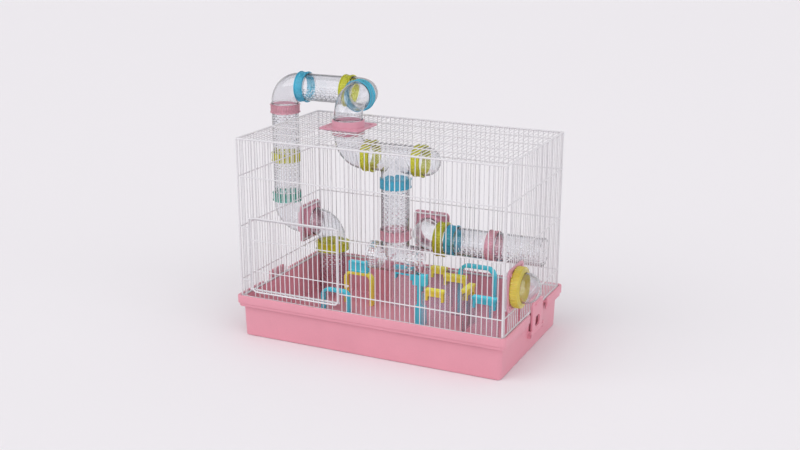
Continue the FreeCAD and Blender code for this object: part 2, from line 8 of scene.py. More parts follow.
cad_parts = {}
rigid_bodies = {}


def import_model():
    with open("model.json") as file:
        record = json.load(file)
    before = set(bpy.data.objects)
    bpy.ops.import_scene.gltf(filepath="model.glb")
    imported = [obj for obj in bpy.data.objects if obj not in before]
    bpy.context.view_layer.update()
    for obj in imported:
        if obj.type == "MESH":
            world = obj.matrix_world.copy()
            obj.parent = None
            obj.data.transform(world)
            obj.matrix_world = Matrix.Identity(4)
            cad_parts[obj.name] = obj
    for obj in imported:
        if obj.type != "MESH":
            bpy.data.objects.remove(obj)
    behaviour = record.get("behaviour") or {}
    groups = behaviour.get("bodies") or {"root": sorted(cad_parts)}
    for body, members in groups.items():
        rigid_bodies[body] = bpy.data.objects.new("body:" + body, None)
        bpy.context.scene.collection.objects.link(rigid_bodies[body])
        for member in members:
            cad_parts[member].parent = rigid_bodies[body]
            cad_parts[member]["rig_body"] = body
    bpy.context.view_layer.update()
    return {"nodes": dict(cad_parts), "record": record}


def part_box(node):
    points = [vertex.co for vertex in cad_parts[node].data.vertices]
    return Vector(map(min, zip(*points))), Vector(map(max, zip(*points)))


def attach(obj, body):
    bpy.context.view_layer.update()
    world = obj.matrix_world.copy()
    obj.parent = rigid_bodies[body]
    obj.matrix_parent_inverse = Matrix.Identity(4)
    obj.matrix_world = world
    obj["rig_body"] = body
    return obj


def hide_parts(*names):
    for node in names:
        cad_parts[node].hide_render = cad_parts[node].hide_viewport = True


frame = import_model()
SLOT_OF = {part["node"]: part["material_slot"] for part in frame["record"]["subparts"]}

bl_info = {
    "name": "Gerbil Cage",
    "version": (1, 0, 0),
    "blender": (4, 5, 0),
    "location": "3D View > Sidebar > Cage",
    "description": "Models and finishes a wire cage with clear tubes and a floor maze",
    "category": "Object",
}

MM = 0.001
X, Y, Z = Vector((1, 0, 0)), Vector((0, 1, 0)), Vector((0, 0, 1))
ZERO = Vector()
# Points that are nearer than this are merged
MERGE = 0.01 * MM
# Edges that are flatter than this are shaded smooth
SMOOTH_ANGLE = math.radians(35.0)

# What each group of pieces stands for in the frame
WIRES = ("hood_frame", "front_grille", "back_grille", "left_grille", "right_grille", "roof_grille",
         "front_door")
TUBES = ("left_lower_tube", "left_upper_tube", "top_tube", "stem_tube", "run_spacer", "run_short_tube")
# Tubes with a free end, and where it points
OPEN_TUBES = {"drop_tube": -Z, "run_long_tube": X}
# Where the two ends of each elbow point
ELBOWS = {
    "left_outer_elbow": (X, Z),
    "top_left_elbow": (-Z, X),
    "top_turn_elbow": (-X, -Y),
    "roof_outer_elbow": (Y, -Z),
    "roof_inner_elbow": (Z, X),
    "left_inner_elbow": (-X, -Z),
    "back_elbow": (Y, X),
}
BEADED_BOTH_ENDS = ("roof_outer_elbow",)
# Where the stem of each tee points
TEES = {"upper_tee": -Z, "lower_tee": Z}
GRIPPED_TEES = ("lower_tee",)
# Where each dome bulges
DOMES = {"tee_dome": X, "right_dome": X}
# The outer side of each plate
PLATES = {"left_plate": -X, "roof_plate": Z, "back_plate": Y, "right_plate": X}
# The end of the tray, along X, that each clip is on
CLIPS = {"clip_left": -1, "clip_right": 1}
RINGS = tuple(name for name in SLOT_OF if name.startswith("ring_"))
CAPS = tuple(name for name in SLOT_OF if name.startswith("cap_"))
ARCHES = tuple(name for name in SLOT_OF if name.startswith("arch_"))

# Middle lines of the hood's right, back and top border wires
WIRE_R = 2 * MM
HOOD = Vector([side - WIRE_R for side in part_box("hood_frame")[1]])
# Outer radius of the clear tubes
TUBE_R = (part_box(TUBES[0])[1].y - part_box(TUBES[0])[0].y) / 2

# Room round a tube in its ring, and round a pin in its ear
FIT = 0.1 * MM
# Half the height of the rib inside a ring, and the rounding of a ring's edges
RING_STOP, RING_ROUND = 1.0 * MM, 0.35 * MM
# Corners and edges of a plate, its distance from the middle of the wires, and its pegs' extra height
PLATE_CORNER, PLATE_ROUND, PLATE_STAND, PEG_EXTRA = 10 * MM, 0.5 * MM, 2 * MM, 0.6 * MM
# Wall of a plate's sleeve round the tube, and reach of the rib in it, inside and outside the wires
SLEEVE_WALL, WEB_INSIDE, WEB_OUTSIDE = 4 * MM, 3 * MM, 9 * MM
# Slope and rounding of the nut's edges, and slope and depth of the notches round it
NUT_EDGE, NUT_ROUND, NUT_SLOPE, NUT_NOTCH = 1.5 * MM, 0.3 * MM, 0.5 * MM, 0.8 * MM
# Height and rounding of an ear, its gap beside the clip, and its reach in under the hood's wire
EAR_TALL, EAR_ROUND, EAR_ROOM, EAR_ROOT = 14 * MM, 5 * MM, 0.4 * MM, 2.2 * MM
# Height and rounding of a clip's finger bar, and its middle below the clip's top
BAR_HIGH, BAR_ROUND, BAR_DOWN = 5 * MM, 1.6 * MM, 6 * MM
# Width of the post's foot, and heights of its foot and head
POST_FOOT, POST_LEG, POST_HEAD = 20 * MM, 45 * MM, 24 * MM
# Border, slope and depth of the sunk faces of the block and the panels, and rounding of the panels
BLOCK_SINK, PANEL_SINK, PANEL_ROUND = (3.5 * MM, 0.8 * MM, 1.2 * MM), (4 * MM, 0.5 * MM, 0.5 * MM), 0.4 * MM

# Name, azimuth, height and spread in degrees, and strength of each sun
SUNS = (("key", -35.0, 40.0, 60.0, 1.2), ("fill", 62.0, 30.0, 70.0, 1.0), ("top", 170.0, 65.0, 70.0, 0.4))
# Strength of the light from all round
SOFT_LIGHT = 0.49
FLOOR_RADIUS = 14.0
# Where the camera stands and looks, in metres, and its lens and sensor in millimetres
CAMERA_AT = Vector((0.95686, -2.04630, 0.88301))
CAMERA_TARGET = Vector((-0.004, 0.0, 0.2285))
CAMERA_LENS, CAMERA_SENSOR = 51.38, 36.0


def linear(code):
    """Linear colour of an sRGB hex value."""
    parts = [int(code[i:i + 2], 16) / 255 for i in (1, 3, 5)]
    return tuple(c / 12.92 if c <= 0.04045 else ((c + 0.055) / 1.055) ** 2.4 for c in parts)


def colour(name, description, code):
    return FloatVectorProperty(name=name, description=description, subtype="COLOR", size=3,
                               min=0.0, max=1.0, default=linear(code))


def length(name, description, millimetres):
    return FloatProperty(name=name, description=description, unit="LENGTH", subtype="DISTANCE",
                         min=0.0, default=millimetres * MM, precision=4)


class CageColours(bpy.types.PropertyGroup):
    """Colours of the cage's plastics, coating and stage."""
    tray: colour("Tray", "Pink of the moulded tray and its clips", "#e198a8")
    plate: colour("Plates", "Pink of the plates that carry the tubes", "#d496a8")
    wire: colour("Wire", "White of the coated wire", "#dddbdf")
    clear: colour("Clear", "Tint of the clear tubes", "#f6f7f9")
    panel: colour("Panels", "Tint of the maze's clear panels", "#f4f1f8")
    ring_blue: colour("Blue rings", "Blue of the tube rings", "#5cd8f6")
    ring_teal: colour("Teal rings", "Teal of the tube rings", "#4ccdb9")
    ring_yellow: colour("Yellow rings", "Yellow of the tube rings", "#eeee40")
    ring_pink: colour("Pink rings", "Pink of the tube rings", "#ffc6d4")
    nut: colour("Nut", "Yellow of the dome's nut", "#ffee66")
    toy_blue: colour("Blue toys", "Blue of the maze pieces", "#54e0f6")
    toy_yellow: colour("Yellow toys", "Yellow of the maze pieces", "#fbf25e")
    floor: colour("Floor", "Pale floor that the cage stands on", "#edeaee")
    ceiling: colour("Ceiling", "Dim top of the studio, which clear plastic bends into view", "#4c4b52")


class CageSizes(bpy.types.PropertyGroup):
    """Sizes that the frame leaves open."""
    tube_wall: length("Tube wall", "Wall of the clear tubes", 2.0)
    elbow_bend: length("Elbow bend", "Radius of an elbow's middle line", 38.0)
    free_lip: length("Free lip", "Height of the bead at a tube's free end", 1.2)
    stop_bead: length("Stop bead", "Size of the bead beside a tube's ring", 1.6)
    grip_pitch: length("Grip pitch", "Spacing of the grip dots inside the tubes", 5.5)
    grip_edge: length("Grip edge", "Slope round each grip dot", 1.3)
    grip_height: length("Grip height", "Height of the grip dots", 1.1)
    ring_bead: length("Ring bead", "Height of the two beads on a ring", 2.4)
    ring_band: length("Ring band", "Width of each bead on a ring", 3.2)
    ring_ribs: IntProperty(name="Ring ribs", description="Grip ribs round a ring", default=36, min=8, max=96)
    plate_thick: length("Plate thickness", "Thickness of the tube plates", 3.0)
    plate_border: length("Plate border", "Width of the raised border of a plate", 5.0)
    plate_sink: length("Plate sink", "Depth of a plate inside its border", 1.2)
    peg: length("Peg", "Radius of the pegs that hold a plate", 3.5)
    edge: length("Edge", "Rounding of a moulded edge", 0.8)
    rim_round: length("Rim round", "Rounding of the tray's border", 1.6)
    foot_round: length("Foot round", "Rounding under the tray", 3.0)
    tray_corner: length("Tray corner", "Corner radius of the tray", 9.0)
    tray_draw: length("Tray draw", "Inset of the tray's foot under the hood", 2.0)
    tray_wall: length("Tray wall", "Wall of the tray and of its lip", 2.5)
    tray_floor: length("Tray floor", "Floor of the tray", 4.0)
    rim_thick: length("Rim thickness", "Thickness of the rim under the hood", 4.0)
    border_high: length("Border height", "Height of the border above the rim", 5.5)
    border_thick: length("Border thickness", "Thickness of the border outside the hood", 5.0)
    lip_high: length("Lip height", "Height of the tray's turned-down lip", 16.5)
    step_high: length("Step height", "Height of the step below the lip", 7.0)
    clip_room: length("Clip room", "Gap in the rim on each side of a clip", 22.0)
    clip_half: length("Clip half", "Half the width of a clip", 32.0)
    clip_thick: length("Clip thickness", "Thickness of a clip", 4.0)
    clip_corner: length("Clip corner", "Corner radius of a clip", 10.0)
    clip_barrel: length("Clip barrel", "Radius of the barrel along a clip's foot", 4.0)
    clip_pin: length("Clip pin", "Radius of a clip's pin", 2.5)
    window_wide: length("Window width", "Width of the window in a clip", 26.0)
    window_high: length("Window height", "Height of the window in a clip", 22.0)
    window_middle: length("Window middle", "Height of the middle of a clip's window", 60.0)
    window_corner: length("Window corner", "Corner radius of a clip's window", 6.0)
    cap_leg: length("Cap leg", "Width of a maze cap's legs", 5.0)
    cap_drop: length("Cap drop", "Length of a maze cap's legs", 10.0)
    cap_grip: length("Cap grip", "Depth of a maze cap's slot", 7.0)
    cap_slot: length("Cap slot", "Width of a maze cap's slot", 3.4)
    cap_band: length("Cap band", "Height of a maze cap's brim", 7.0)
    cap_brim: length("Cap brim", "Reach of a maze cap's brim", 1.2)
    cap_border: length("Cap border", "Width of a maze cap's raised border", 2.2)
    cap_sink: length("Cap sink", "Depth of a maze cap inside its border", 1.0)
    toy_round: length("Toy round", "Rounding of arches, block and post", 1.2)
    arch_thick: length("Arch thickness", "Thickness of an arch", 7.0)
    panel_wide: length("Panel width", "Width of the maze's panels", 62.0)
    panel_thick: length("Panel thickness", "Thickness of the maze's panels", 3.0)


# Materials
def fill(tree, made, inputs):
    """Set a node's inputs, or link them to a socket or to the output that another node has in use."""
    for socket, value in inputs.items():
        if isinstance(value, bpy.types.Node):
            value = next(output for output in value.outputs if output.enabled)
        if isinstance(value, bpy.types.NodeSocket):
            tree.links.new(value, made.inputs[socket])
        else:
            made.inputs[socket].default_value = value


def node(tree, kind, inputs, **settings):
    """Add a shader node, set its properties and fill its inputs."""
    made = tree.nodes.new("ShaderNode" + kind)
    for key, value in settings.items():
        setattr(made, key, value)
    fill(tree, made, inputs)
    return made


def blank(name):
    """Empty material with its shader and output linked."""
    material = bpy.data.materials.new(name)
    material.use_nodes = True
    tree = material.node_tree
    tree.nodes.clear()
    shader = node(tree, "BsdfPrincipled", {})
    node(tree, "OutputMaterial", {"Surface": shader})
    return material, tree, shader


def shade(rgb, factor):
    return (rgb[0] * factor, rgb[1] * factor, rgb[2] * factor, 1.0)


# Where most of a noise lies
NOISE = {"From Min": 0.3, "From Max": 0.7}


def moulded(name, rgb, gloss, grain_mm, grain_depth_mm, see_through=0.0):
    """Injection-moulded plastic: faint flow clouds, a fine eroded grain and a skin of uneven gloss."""
    material, tree, shader = blank(name)
    place = node(tree, "TexCoord", {}).outputs["Object"]
    clouds = node(tree, "TexNoise", {"Vector": place, "Scale": 1 / (70 * MM), "Detail": 3.0})
    # The real grain is about 0.2 mm and is drawn coarser so that it shows
    grain = node(tree, "TexNoise", {"Vector": place, "Scale": 1 / (grain_mm * MM), "Detail": 2.0})
    tone = node(tree, "Mix", {0: clouds, 6: shade(rgb, 0.93), 7: shade(rgb, 1.06)}, data_type="RGBA")
    speck = node(tree, "MapRange", {"Value": grain, **NOISE, "To Min": 0.97, "To Max": 1.03})
    fleck = node(tree, "VectorMath", {0: tone, "Scale": speck}, operation="SCALE")
    skin = node(tree, "MapRange", {"Value": clouds, **NOISE, "To Min": gloss - 0.05, "To Max": gloss + 0.05})
    bump = node(tree, "Bump", {"Height": grain, "Strength": 0.35, "Distance": grain_depth_mm * MM})
    fill(tree, shader, {"Base Color": fleck, "Roughness": skin, "Normal": bump, "IOR": 1.5,
                        "Transmission Weight": see_through})
    return material


def coated_wire(name, rgb):
    """Epoxy-coated steel wire: thick glossy coat with a slight orange peel and a little dust in it."""
    material, tree, shader = blank(name)
    place = node(tree, "TexCoord", {}).outputs["Object"]
    peel = node(tree, "TexNoise", {"Vector": place, "Scale": 1 / (1.6 * MM), "Detail": 1.0})
    drift = node(tree, "TexNoise", {"Vector": place, "Scale": 1 / (45 * MM), "Detail": 2.0})
    tone = node(tree, "Mix", {0: drift, 6: shade(rgb, 0.95), 7: shade(rgb, 1.03)}, data_type="RGBA")
    skin = node(tree, "MapRange", {"Value": peel, **NOISE, "To Min": 0.22, "To Max": 0.34})
    bump = node(tree, "Bump", {"Height": peel, "Strength": 0.3, "Distance": 0.05 * MM})
    fill(tree, shader, {"Base Color": tone, "Roughness": skin, "Normal": bump, "IOR": 1.55})
    return material


def clear_plastic(name, rgb, rough, haze):
    """Clear plastic: sharp highlights, slight waves, a little haze and a painted dark outline."""
    material, tree, shader = blank(name)
    place = node(tree, "TexCoord", {}).outputs["Object"]
    waves = node(tree, "TexNoise", {"Vector": place, "Scale": 1 / (14 * MM), "Detail": 2.0})
    scuffs = node(tree, "TexNoise", {"Vector": place, "Scale": 1 / (3 * MM), "Detail": 3.0})
    tone = node(tree, "Mix", {0: waves, 6: shade(rgb, 0.98), 7: shade(rgb, 1.0)}, data_type="RGBA")
    # Painted shade: where the surface turns away the colour goes nearly black, a dark outline that stands in
    # for the dark refraction at a tube's edge, far darker than the plastic's faint tint could make it
    glance = node(tree, "LayerWeight", {"Blend": 0.5}).outputs["Facing"]
    edge = node(tree, "MapRange", {"Value": glance, "From Min": 0.55, "From Max": 0.82})
    # The painted dark outline: near-black colour mixed into the base colour at glancing angles
    depth = node(tree, "Mix", {0: edge, 6: tone, 7: shade(rgb, 0.1)}, data_type="RGBA")
    skin = node(tree, "MapRange", {"Value": scuffs, "From Min": 0.35, "From Max": 0.75,
                                   "To Min": rough * 0.5, "To Max": rough * 2.0})
    bump = node(tree, "Bump", {"Height": waves, "Strength": 0.25, "Distance": 0.4 * MM})
    fill(tree, shader, {"Base Color": depth, "Roughness": skin, "Normal": bump, "IOR": 1.5,
                        "Transmission Weight": 1.0 - haze})
    return material


# Gloss, grain and grain depth in millimetres, and share of light let through, of the rings and the toys
RING = (0.16, 1.0, 0.03, 0.68)
TOY = (0.24, 1.0, 0.05, 0.06)
# Name, maker, colour and settings of each material
FINISHES = {
    # Polypropylene from a grained mould is satin, with broad soft highlights
    "pan_pink": ("Moulded_polypropylene_pink", moulded, "tray", 0.42, 1.2, 0.10),
    # ABS from a smoother mould is a little glossier and dulls the pink
    "plate_pink": ("Moulded_ABS_dull_pink", moulded, "plate", 0.34, 1.0, 0.06),
    # Baked epoxy on steel is thick, glossy and faintly dimpled
    "wire_white": ("Epoxy_coated_steel_wire_white", coated_wire, "wire"),
    # Polystyrene from a polished mould is clear, with sharp highlights and painted dark outlines
    "clear_plastic": ("Moulded_clear_polystyrene", clear_plastic, "clear", 0.02, 0.0),
    # Cut acrylic sheet is slightly hazy, with a faint lilac tint and the same painted dark outline
    "maze_panel": ("Cut_acrylic_sheet_lilac", clear_plastic, "panel", 0.04, 0.12),
    # Lightly pigmented polypropylene lets light in, so its thin edges glow
    "ring_blue": ("Moulded_translucent_polypropylene_blue", moulded, "ring_blue", *RING),
    "ring_teal": ("Moulded_translucent_polypropylene_teal", moulded, "ring_teal", *RING),
    "ring_yellow": ("Moulded_translucent_polypropylene_yellow", moulded, "ring_yellow", *RING),
    "ring_pink": ("Moulded_translucent_polypropylene_pink", moulded, "ring_pink", *RING),
    # A thicker nut lets a little less light in
    "dome_nut": ("Moulded_translucent_polypropylene_gold", moulded, "nut", 0.14, 1.0, 0.03, 0.55),
    # Pigmented polystyrene is bright, with a hard gloss
    "toy_blue": ("Moulded_polystyrene_blue", moulded, "toy_blue", *TOY),
    "toy_yellow": ("Moulded_polystyrene_yellow", moulded, "toy_yellow", *TOY),
}
CLEAR_FINISHES = ("clear_plastic", "maze_panel")


def finish_of(kind):
    """The material of one kind of plastic or wire, made the first time that it is asked for."""
    name, maker, hue, *settings = FINISHES[kind]
    rgb = getattr(bpy.context.scene.cage_colours, hue)
    return bpy.data.materials.get(name) or maker(name, rgb, *settings)


# Modelling
def leave_edit():
    if bpy.context.mode != "OBJECT":
        bpy.ops.object.mode_set(mode="OBJECT")
    bpy.ops.object.select_all(action="DESELECT")


def take(made):
    """Make a piece the only one that is selected, and the active one."""
    leave_edit()
    made.select_set(True)
    bpy.context.view_layer.objects.active = made


def start(add, **where):
    """Add a primitive, put its place into its mesh and open it for editing with all of it selected."""
    leave_edit()
    add(**where)
    bpy.ops.object.transform_apply(location=True, rotation=True, scale=True)
    bpy.ops.object.mode_set(mode="EDIT")
    select("EDGE", "SELECT")
    return bpy.context.object


def facing(axis):
    return Z.rotation_difference(axis).to_euler()


def circle(centre, axis, radius, corners, **cover):
    """Circle about an axis, open for editing."""
    return start(bpy.ops.mesh.primitive_circle_add, vertices=corners, radius=radius, location=centre,
                 rotation=facing(axis), **cover)


def block(size, middle, add=bpy.ops.mesh.primitive_cube_add):
    """Box, or flat sheet, of a size about a middle, open for editing."""
    made = start(add, size=1.0)
    bpy.ops.transform.resize(value=size, center_override=ZERO)
    bpy.ops.transform.translate(value=middle)
    return made


def select(kind, action="DESELECT"):
    """Turn to faces or edges, and select none or all of them."""
    bpy.ops.mesh.select_mode(type=kind)
    bpy.ops.mesh.select_all(action=action)


def pick(test):
    """Select only the faces whose centre and normal pass the test."""
    select("FACE")
    mesh = bpy.context.object.data
    shape = bmesh.from_edit_mesh(mesh)
    for face in shape.faces:
        if test(face.calc_center_median(), face.normal):
            face.select_set(True)
            shape.faces.active = face
    bmesh.update_edit_mesh(mesh)


def pick_rims():
    """Select only the open edges."""
    select("EDGE")
    bpy.ops.mesh.select_non_manifold()


def bevel_edges(test, width, segments):
    """Round only the edges whose two ends pass the test."""
    select("EDGE")
    mesh = bpy.context.object.data
    shape = bmesh.from_edit_mesh(mesh)
    for edge in shape.edges:
        if test(*(corner.co for corner in edge.verts)):
            edge.select_set(True)
    bmesh.update_edit_mesh(mesh)
    bpy.ops.mesh.bevel(offset=width, segments=segments, affect="EDGES")


def push(vector, rows=1):
    """Extrude the selection along a vector, in equal rows."""
    for _ in range(rows):
        bpy.ops.mesh.extrude_region_move(TRANSFORM_OT_translate={"value": vector / rows})


def trace(profile, centre, axis):
    """Extrude the selected loop from point to point of a (radius, height) outline about an axis."""
    radius, height = profile[0]
    for next_radius, next_height in profile[1:]:
        push(axis * (next_height - height))
        factor = next_radius / radius
        bpy.ops.transform.resize(value=(factor, factor, factor), center_override=centre + axis * next_height)
        radius, height = next_radius, next_height


def outwards():
    """Merge doubles and point all faces outwards."""
    bpy.ops.mesh.select_all(action="SELECT")
    bpy.ops.mesh.remove_doubles(threshold=MERGE)
    bpy.ops.mesh.normals_make_consistent(inside=False)


def close_up():
    """Bridge the two open loops that are left, and point the faces outwards."""
    pick_rims()
    bpy.ops.mesh.bridge_edge_loops()
    outwards()


def lathe(profile, centre, axis, corners):
    """Turn a closed (radius, height) outline about an axis, by extruding a circle from point to point."""
    made = circle(centre + axis * profile[0][1], axis, profile[0][0], corners)
    trace(profile, centre, axis)
    close_up()
    return made


def stack(levels, centre, corner=0.0, segments=8):
    """Upright form about a centre, extruded from a flat sheet through its (width, depth, height) levels."""
    width, depth, height = levels[0]
    made = block((width, depth, 1.0), (centre.x, centre.y, height), bpy.ops.mesh.primitive_plane_add)
    if corner:
        bpy.ops.mesh.bevel(offset=corner, segments=segments, affect="VERTICES")
    select("FACE", "SELECT")
    for next_width, next_depth, next_height in levels[1:]:
        push(Z * (next_height - height))
        bpy.ops.transform.resize(value=(next_width / width, next_depth / depth, 1.0),
                                 center_override=(centre.x, centre.y, next_height))
        width, depth, height = next_width, next_depth, next_height
    outwards()
    return made


def solid_rod(a, b, radius, corners, rows=1):
    """Closed round bar from a to b, extruded in rows."""
    made = circle(a, (b - a).normalized(), radius, corners, fill_type="NGON")
    bpy.ops.mesh.select_mode(type="FACE")
    push(b - a, rows)
    outwards()
    return made


def raise_every_other(test, slope, height):
    """Raise, or sink, every other one of the picked faces into a flat-topped dot or rib."""
    pick(test)
    bpy.ops.mesh.select_nth(skip=1, nth=1, offset=0)
    bpy.ops.mesh.inset(thickness=slope, depth=height, use_individual=True)


def sink_faces(test, border, slope, depth):
    """Sink each of the picked faces inside a border."""
    pick(test)
    bpy.ops.mesh.inset(thickness=border, depth=0.0, use_individual=True)
    bpy.ops.mesh.inset(thickness=slope, depth=-depth, use_individual=True)


def apply_modifier(made, kind, **settings):
    take(made)
    modifier = made.modifiers.new(kind, kind)
    for key, value in settings.items():
        setattr(modifier, key, value)
    bpy.ops.object.modifier_apply(modifier=modifier.name)


def combine(made, tool, operation):
    """Boolean with a tool object, which is then removed."""
    apply_modifier(made, "BOOLEAN", object=tool, operation=operation, solver="EXACT")
    bpy.data.objects.remove(tool)


def round_edges(made, width, segments=3, angle=35.0):
    """Round every edge that is sharper than an angle in degrees."""
    apply_modifier(made, "BEVEL", width=width, segments=segments, limit_method="ANGLE",
                   angle_limit=math.radians(angle), use_clamp_overlap=True, harden_normals=False)


def settle(made, node_name, finish=None, piece=None):
    """Name a finished piece, give it its finish and let it ride on its body in place of its node."""
    slot, body = SLOT_OF[node_name], frame["nodes"][node_name]["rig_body"]
    finish = finish or slot
    clear = finish in CLEAR_FINISHES
    take(made)
    bpy.ops.object.transform_apply(location=True, rotation=True, scale=True)
    bpy.ops.object.shade_smooth_by_angle(angle=SMOOTH_ANGLE)
    made.name = (piece or node_name) + ("_clear" if clear else "_moulded")
    made.data.name = made.name
    made.data.materials.clear()
    made.data.materials.append(finish_of(finish))
    # Clear plastic lets the light through to what stands behind it
    made.visible_shadow = not clear
    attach(made, body)
    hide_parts(node_name)


def copy_to(master, origin, axis):
    """Copy of a piece that was modelled about +Z, with a mesh of its own, carried to an origin and axis."""
    made = master.copy()
    made.data = master.data.copy()
    bpy.context.scene.collection.objects.link(made)
    made.matrix_world = Matrix.Translation(origin) @ Z.rotation_difference(axis).to_matrix().to_4x4()
    return made


def box_of(node_name):
    """Lowest and highest corner of a node, its middle and its size."""
    low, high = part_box(node_name)
    return low, high, (low + high) / 2, high - low


def long_axis(node_name):
    """Ends, axis and radius of a round node, from its box."""
    middle, size = box_of(node_name)[2:]
    odd = max(range(3), key=lambda i: abs(2 * size[i] - size[i - 1] - size[i - 2]))
    axis = Vector()
    axis[odd] = 1.0
    half = axis * (size[odd] / 2)
    return middle - half, middle + half, axis, size[odd - 1] / 2


def cells_round(radius):
    """Even number of grip cells round a bore."""
    return 2 * round(math.pi * radius / bpy.context.scene.cage_sizes.grip_pitch)


def rows_along(distance):
    """Number of grip cells along a distance."""
    return max(2, round(distance / bpy.context.scene.cage_sizes.grip_pitch))


def far_from_line(point, origin, axis):
    offset = point - origin
    return (offset - axis * offset.dot(axis)).length


def stop_bead(end, inward, radius):
    """Points of the round bead on a tube, just outside the ring or plate that holds its end."""
    size = bpy.context.scene.cage_sizes.stop_bead
    for name in RINGS + tuple(PLATES):
        low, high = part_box(name)
        if all(low[i] - MM < end[i] < high[i] + MM for i in range(3)):
            at = max((low - end).dot(inward), (high - end).dot(inward)) + size + FIT
            arc = ((0.0, -1.0), (0.7, -0.7), (1.0, 0.0), (0.7, 0.7), (0.0, 1.0))
            return [(radius + size * out, at + size * along) for out, along in arc]
    raise ValueError("No ring or plate holds the tube end at %s" % (end,))


class Step:
    """What the operators that make the cage have in common."""
    bl_options = {"REGISTER", "UNDO"}


class CAGE_OT_wires(Step, bpy.types.Operator):
    """Give the hood's wires and the door their white coat"""
    bl_idname = "cage.wires"
    bl_label = "Coat the Wires"

    def execute(self, context):
        for name in WIRES:
            coats = frame["nodes"][name].data.materials
            coats.clear()
            coats.append(finish_of(SLOT_OF[name]))
        return {"FINISHED"}


class CAGE_OT_tubes(Step, bpy.types.Operator):
    """Model the straight clear tubes, with grip dots on their inner walls"""
    bl_idname = "cage.tubes"
    bl_label = "Straight Tubes"

    def execute(self, context):
        sizes = context.scene.cage_sizes
        for name in TUBES + tuple(OPEN_TUBES):
            a, b, axis, radius = long_axis(name)
            if OPEN_TUBES.get(name, axis).dot(axis) < 0:
                a, b, axis = b, a, -axis
            bore = radius - sizes.tube_wall
            far = (b - a).length
            profile = [(radius, 0.0)] + stop_bead(a, axis, radius)
            if name in OPEN_TUBES:
                wide, lip = radius + sizes.free_lip, far - 3 * sizes.free_lip
                profile += [(radius, lip), (wide, lip), (wide, far)]
            else:
                profile.append((radius, far))
            made = circle(a, axis, radius, cells_round(bore))
            trace(profile + [(bore, far)], a, axis)
            push(a - b, rows_along(far))
            close_up()
            # A tube that lies flat has its dots only where the pet walks
            upright = abs(axis.z) > 0.5
            raise_every_other(lambda c, n: far_from_line(c, a, axis) < bore and n.dot(axis) ** 2 < 0.5
                              and (upright or n.z > 0), sizes.grip_edge, sizes.grip_height)
            settle(made, name)
        return {"FINISHED"}


class CAGE_OT_elbows(Step, bpy.types.Operator):
    """Model the clear quarter bends"""
    bl_idname = "cage.elbows"
    bl_label = "Elbows"

    def execute(self, context):
        sizes = context.scene.cage_sizes
        bend = sizes.elbow_bend
        for name, (to_a, to_b) in ELBOWS.items():
            middle, size = box_of(name)[2:]
            radius = abs(size.dot(to_a.cross(to_b))) / 2
            bore = radius - sizes.tube_wall
            leg_a = abs(size.dot(to_a)) - radius
            leg_b = abs(size.dot(to_b)) - radius
            corner = middle - to_a * ((leg_a - radius) / 2) - to_b * ((leg_b - radius) / 2)
            end_a, end_b = corner + to_a * leg_a, corner + to_b * leg_b
            turn = {"steps": rows_along(bend * math.pi / 2), "angle": math.pi / 2,
                    "center": corner + (to_a + to_b) * bend}
            made = circle(end_a, to_a, radius, cells_round(bore))
            trace([(radius, 0.0)] + stop_bead(end_a, -to_a, radius) + [(radius, leg_a - bend)], end_a, -to_a)
            bpy.ops.mesh.spin(axis=to_a.cross(to_b), **turn)
            profile = [(radius, leg_b - bend)]
            if name in BEADED_BOTH_ENDS:
                profile += reversed(stop_bead(end_b, -to_b, radius))
            trace(profile + [(radius, 0.0), (bore, 0.0)], end_b, -to_b)
            # Short rows keep the smooth shading true along a straight wall
            push(to_b * (bend - leg_b), rows_along(leg_b - bend))
            bpy.ops.mesh.spin(axis=to_b.cross(to_a), **turn)
            push(to_a * (leg_a - bend), rows_along(leg_a - bend))
            close_up()
            settle(made, name)
        return {"FINISHED"}


class CAGE_OT_tees(Step, bpy.types.Operator):
    """Model the two clear tees"""
    bl_idname = "cage.tees"
    bl_label = "Tees"

    def execute(self, context):
        sizes = context.scene.cage_sizes
        past, shy = 0.5 * MM, 0.03 * MM
        for name, stem in TEES.items():
            middle, size = box_of(name)[2:]
            radius = size.y / 2
            bore = radius - sizes.tube_wall
            leg = size.z - radius
            corner = middle - stem * ((leg - radius) / 2)
            a, b = corner - X * (size.x / 2), corner + X * (size.x / 2)
            tip = corner + stem * leg
            corners = cells_round(bore)
            clear_of_joint = radius + sizes.grip_pitch
            made = solid_rod(a, b, radius, corners)
            # The stem is a hair thinner than the run, so that no two faces coincide
            combine(made, solid_rod(corner, tip, radius - shy, corners), "UNION")
            bores = []
            for p, q, axis in ((a - X * past, b + X * past, X), (corner, tip + stem * past, stem)):
                bores.append(solid_rod(p, q, bore, corners, rows_along((q - p).length)))
                if name in GRIPPED_TEES:
                    last = (q - corner).length - sizes.grip_pitch
                    raise_every_other(lambda c, n: clear_of_joint < abs((c - corner).dot(axis)) < last
                                      and n.dot(axis) ** 2 < 0.5, sizes.grip_edge, -sizes.grip_height)
            for tool in bores:
                combine(made, tool, "DIFFERENCE")
            settle(made, name)
        return {"FINISHED"}


class CAGE_OT_domes(Step, bpy.types.Operator):
    """Model the clear domed end caps"""
    bl_idname = "cage.domes"
    bl_label = "Domed Caps"

    def execute(self, context):
        sizes = context.scene.cage_sizes
        for name, axis in DOMES.items():
            middle, size = box_of(name)[2:]
            radius = size.y / 2
            skirt = size.dot(axis) - radius
            top = middle + axis * ((skirt - radius) / 2)
            corners = cells_round(radius - sizes.tube_wall)
            made = start(bpy.ops.mesh.primitive_uv_sphere_add, segments=corners, ring_count=corners // 2,
                         radius=radius, location=top, rotation=facing(axis))
            bpy.ops.mesh.bisect(plane_co=top, plane_no=axis, clear_inner=True, threshold=MERGE)
            pick_rims()
            push(-axis * skirt, rows_along(skirt))
            outwards()
            apply_modifier(made, "SOLIDIFY", thickness=sizes.tube_wall, offset=-1.0, use_even_offset=True)
            settle(made, name)
        return {"FINISHED"}


